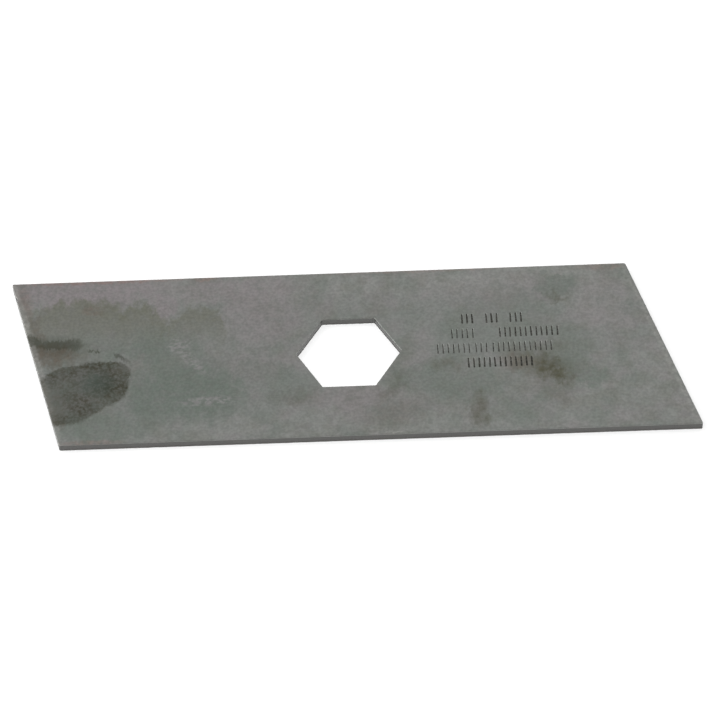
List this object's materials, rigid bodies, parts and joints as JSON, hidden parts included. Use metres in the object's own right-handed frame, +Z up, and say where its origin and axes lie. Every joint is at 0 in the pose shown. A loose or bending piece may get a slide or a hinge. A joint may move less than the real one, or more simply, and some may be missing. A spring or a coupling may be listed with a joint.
{
  "type": "scarifier blade",
  "caption": "Flat steel scarifier blade with slanted ends and a hexagonal centre bore for its drive shaft.",
  "frame": {"origin": "on the hexagonal bore's axis, in the lower face", "axes": "+X along the blade through two corners of the bore, towards the stamped end; +Y to the far long edge; +Z up, out of the stamped face"},
  "size_m": [0.1508, 0.0486, 0.0018],
  "materials": {
    "steel": "satin, lightly oiled and stained rolled sheet"
  },
  "bodies": {
    "root": {"blade": "steel"}
  },
  "joints": []
}
